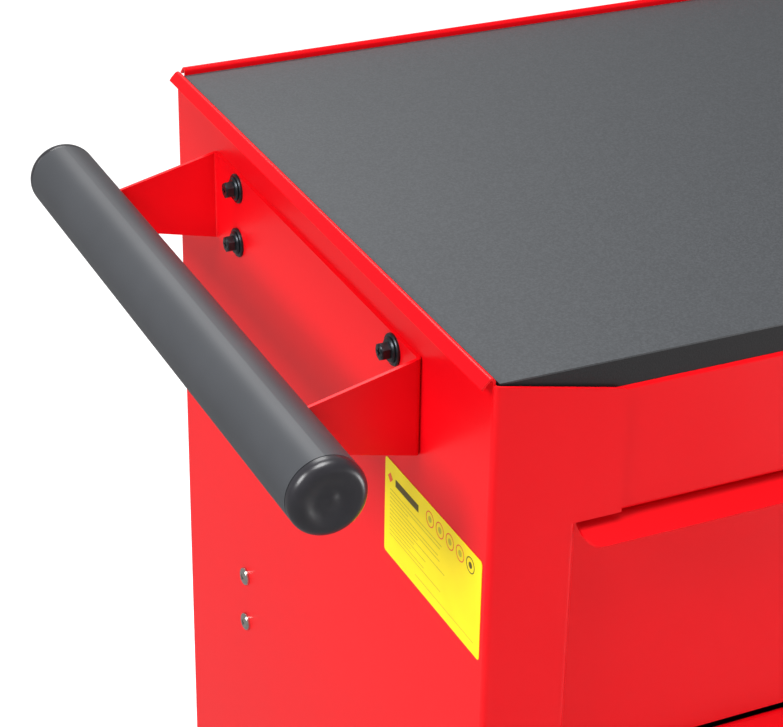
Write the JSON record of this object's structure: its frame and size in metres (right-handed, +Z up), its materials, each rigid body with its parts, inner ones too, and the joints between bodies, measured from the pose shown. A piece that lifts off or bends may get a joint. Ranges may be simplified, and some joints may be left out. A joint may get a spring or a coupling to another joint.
{
  "type": "rolling tool chest",
  "caption": "Rolling steel tool chest: drawers on ball slides, padded side push handle, flat worktop with a rolled rim, swivel casters with brakes.",
  "frame": {"origin": "on the floor, at the centre of the whole object's bounding box", "axes": "+X to the right seen from the front, away from the handle; +Y to the rear; +Z up"},
  "size_m": [0.7167, 0.4122, 0.8085],
  "materials": {
    "red_powder_coat": "semi-gloss red powder coat",
    "fibreboard_core": "black-stained fibreboard edge",
    "worktop_mat": "fine matt grain",
    "zinc_plated_steel": "bright zinc plate",
    "foam_liner": "matt foam",
    "grip_rubber": "soft matt sleeve",
    "black_plastic": "satin moulded plastic",
    "black_oxide_steel": "black oxide",
    "yellow_sticker": "printed vinyl with plain marks",
    "nickel_screws": "nickel plate",
    "chromed_lock": "chrome plate",
    "grey_nylon": "moulded nylon",
    "black_tyre": "matt rubber"
  },
  "bodies": {
    "cabinet": {"left_side_panel": "red_powder_coat", "right_side_panel": "red_powder_coat", "back_panel": "red_powder_coat", "bottom_pan": "red_powder_coat", "top_rail": "red_powder_coat", "top_deck": "red_powder_coat", "worktop_board": "fibreboard_core", "worktop_mat": "worktop_mat", "rear_uprights": "zinc_plated_steel", "handle_bracket": "red_powder_coat", "handle_tube": "zinc_plated_steel", "handle_grip": "grip_rubber", "grip_end_caps": "black_plastic", "handle_bolts": "black_oxide_steel", "handle_washers": "black_oxide_steel", "side_label": "yellow_sticker", "lock_housing": "chromed_lock", "lock_bar_guides": "zinc_plated_steel", "swivel_caster_plates": "zinc_plated_steel", "fixed_caster_brackets": "zinc_plated_steel", "fixed_caster_axles": "zinc_plated_steel", "caster_bolts": "zinc_plated_steel", "side_screws": "nickel_screws", "slide_outer_members": "zinc_plated_steel"},
    "drawer_1": {"drawer_front_1": "red_powder_coat", "drawer_box_1": "red_powder_coat", "drawer_liner_1": "foam_liner", "slide_inner_1": "zinc_plated_steel"},
    "middle_slides_1": {"slide_middle_1": "zinc_plated_steel"},
    "drawer_2": {"drawer_front_2": "red_powder_coat", "drawer_box_2": "red_powder_coat", "drawer_liner_2": "foam_liner", "slide_inner_2": "zinc_plated_steel"},
    "middle_slides_2": {"slide_middle_2": "zinc_plated_steel"},
    "drawer_3": {"drawer_front_3": "red_powder_coat", "drawer_box_3": "red_powder_coat", "drawer_liner_3": "foam_liner", "slide_inner_3": "zinc_plated_steel"},
    "middle_slides_3": {"slide_middle_3": "zinc_plated_steel"},
    "drawer_4": {"drawer_front_4": "red_powder_coat", "drawer_box_4": "red_powder_coat", "drawer_liner_4": "foam_liner", "slide_inner_4": "zinc_plated_steel"},
    "middle_slides_4": {"slide_middle_4": "zinc_plated_steel"},
    "lock_plug": {"lock_cylinder": "chromed_lock"},
    "lock_bar": {"lock_bar": "zinc_plated_steel"},
    "caster_front": {"swivel_fork_front": "zinc_plated_steel", "swivel_axle_front": "zinc_plated_steel"},
    "wheel_left_front": {"wheel_core_left_front": "grey_nylon", "wheel_tyre_left_front": "black_tyre"},
    "pedal_front": {"brake_pedal_front": "black_plastic"},
    "caster_rear": {"swivel_fork_rear": "zinc_plated_steel", "swivel_axle_rear": "zinc_plated_steel"},
    "wheel_left_rear": {"wheel_core_left_rear": "grey_nylon", "wheel_tyre_left_rear": "black_tyre"},
    "pedal_rear": {"brake_pedal_rear": "black_plastic"},
    "wheel_right_front": {"wheel_core_right_front": "grey_nylon", "wheel_tyre_right_front": "black_tyre"},
    "wheel_right_rear": {"wheel_core_right_rear": "grey_nylon", "wheel_tyre_right_rear": "black_tyre"}
  },
  "joints": [
    {"name": "drawer_1_slide", "type": "slide", "parent": "cabinet", "child": "drawer_1", "axis": [0, -1, 0], "range_m": [0, 0.33]},
    {"name": "middle_slides_1_slide", "type": "slide", "parent": "cabinet", "child": "middle_slides_1", "axis": [0, -1, 0], "range_m": [0, 0.165]},
    {"name": "drawer_2_slide", "type": "slide", "parent": "cabinet", "child": "drawer_2", "axis": [0, -1, 0], "range_m": [0, 0.33]},
    {"name": "middle_slides_2_slide", "type": "slide", "parent": "cabinet", "child": "middle_slides_2", "axis": [0, -1, 0], "range_m": [0, 0.165]},
    {"name": "drawer_3_slide", "type": "slide", "parent": "cabinet", "child": "drawer_3", "axis": [0, -1, 0], "range_m": [0, 0.33]},
    {"name": "middle_slides_3_slide", "type": "slide", "parent": "cabinet", "child": "middle_slides_3", "axis": [0, -1, 0], "range_m": [0, 0.165]},
    {"name": "drawer_4_slide", "type": "slide", "parent": "cabinet", "child": "drawer_4", "axis": [0, -1, 0], "range_m": [0, 0.33]},
    {"name": "middle_slides_4_slide", "type": "slide", "parent": "cabinet", "child": "middle_slides_4", "axis": [0, -1, 0], "range_m": [0, 0.165]},
    {"name": "lock_turn", "type": "hinge", "parent": "cabinet", "child": "lock_plug", "pos_m": [0.31635, -0.19865, 0.76], "axis": [0, -1, 0], "range_deg": [0, 90]},
    {"name": "lock_bar_lift", "type": "slide", "parent": "cabinet", "child": "lock_bar", "axis": [0, 0, 1], "range_m": [0, 0.01061]},
    {"name": "caster_front_swivel", "type": "hinge", "parent": "cabinet", "child": "caster_front", "pos_m": [-0.20565, -0.10365, 0.105], "axis": [0, 0, 1], "continuous": true},
    {"name": "wheel_left_front_roll", "type": "hinge", "parent": "caster_front", "child": "wheel_left_front", "pos_m": [-0.20565, -0.13865, 0.05], "axis": [1, 0, 0], "continuous": true},
    {"name": "pedal_front_press", "type": "hinge", "parent": "caster_front", "child": "pedal_front", "pos_m": [-0.20565, -0.16865, 0.1], "axis": [1, 0, 0], "range_deg": [0, 12]},
    {"name": "caster_rear_swivel", "type": "hinge", "parent": "cabinet", "child": "caster_rear", "pos_m": [-0.20565, 0.10635, 0.105], "axis": [0, 0, 1], "continuous": true},
    {"name": "wheel_left_rear_roll", "type": "hinge", "parent": "caster_rear", "child": "wheel_left_rear", "pos_m": [-0.20565, 0.07135, 0.05], "axis": [1, 0, 0], "continuous": true},
    {"name": "pedal_rear_press", "type": "hinge", "parent": "caster_rear", "child": "pedal_rear", "pos_m": [-0.20565, 0.04135, 0.1], "axis": [1, 0, 0], "range_deg": [0, 12]},
    {"name": "wheel_right_front_roll", "type": "hinge", "parent": "cabinet", "child": "wheel_right_front", "pos_m": [0.29035, -0.10365, 0.05], "axis": [0, 1, 0], "continuous": true},
    {"name": "wheel_right_rear_roll", "type": "hinge", "parent": "cabinet", "child": "wheel_right_rear", "pos_m": [0.29035, 0.10635, 0.05], "axis": [0, 1, 0], "continuous": true}
  ],
  "couplings": [
    {"joint": "middle_slides_1_slide", "follows": "drawer_1_slide", "ratio": 0.5},
    {"joint": "middle_slides_2_slide", "follows": "drawer_2_slide", "ratio": 0.5},
    {"joint": "middle_slides_3_slide", "follows": "drawer_3_slide", "ratio": 0.5},
    {"joint": "middle_slides_4_slide", "follows": "drawer_4_slide", "ratio": 0.5},
    {"joint": "lock_turn", "follows": "lock_bar_lift", "rad_per_m": 148.1}
  ]
}
